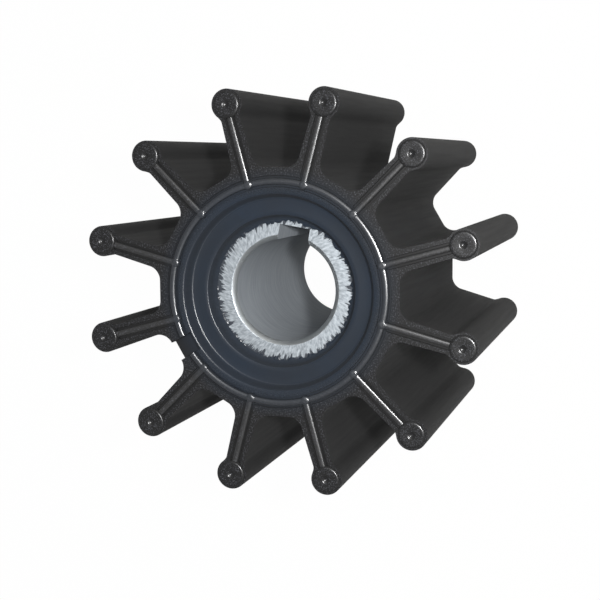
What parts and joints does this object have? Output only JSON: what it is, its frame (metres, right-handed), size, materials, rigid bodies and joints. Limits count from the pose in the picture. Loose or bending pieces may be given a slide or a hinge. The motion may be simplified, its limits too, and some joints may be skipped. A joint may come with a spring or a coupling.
{
  "type": "pump impeller",
  "caption": "Flexible-vane pump impeller: rubber hub and straight radial vanes with round tips and sealing beads, moulded onto a metal sleeve with a keyed bore.",
  "frame": {"origin": "on the axis, at the lower end, in the plane of the raised discs it stands on", "axes": "+Z along the shaft axis towards the notched end, +X along one vane"},
  "size_m": [0.0826, 0.0826, 0.0635],
  "materials": {
    "rubber": "moulded black rubber, satin",
    "sleeve_metal": "machined and filed, with rubber smeared over the rim"
  },
  "bodies": {
    "root": {"vane_moulding": "rubber", "hub_sleeve": "sleeve_metal"}
  },
  "joints": []
}
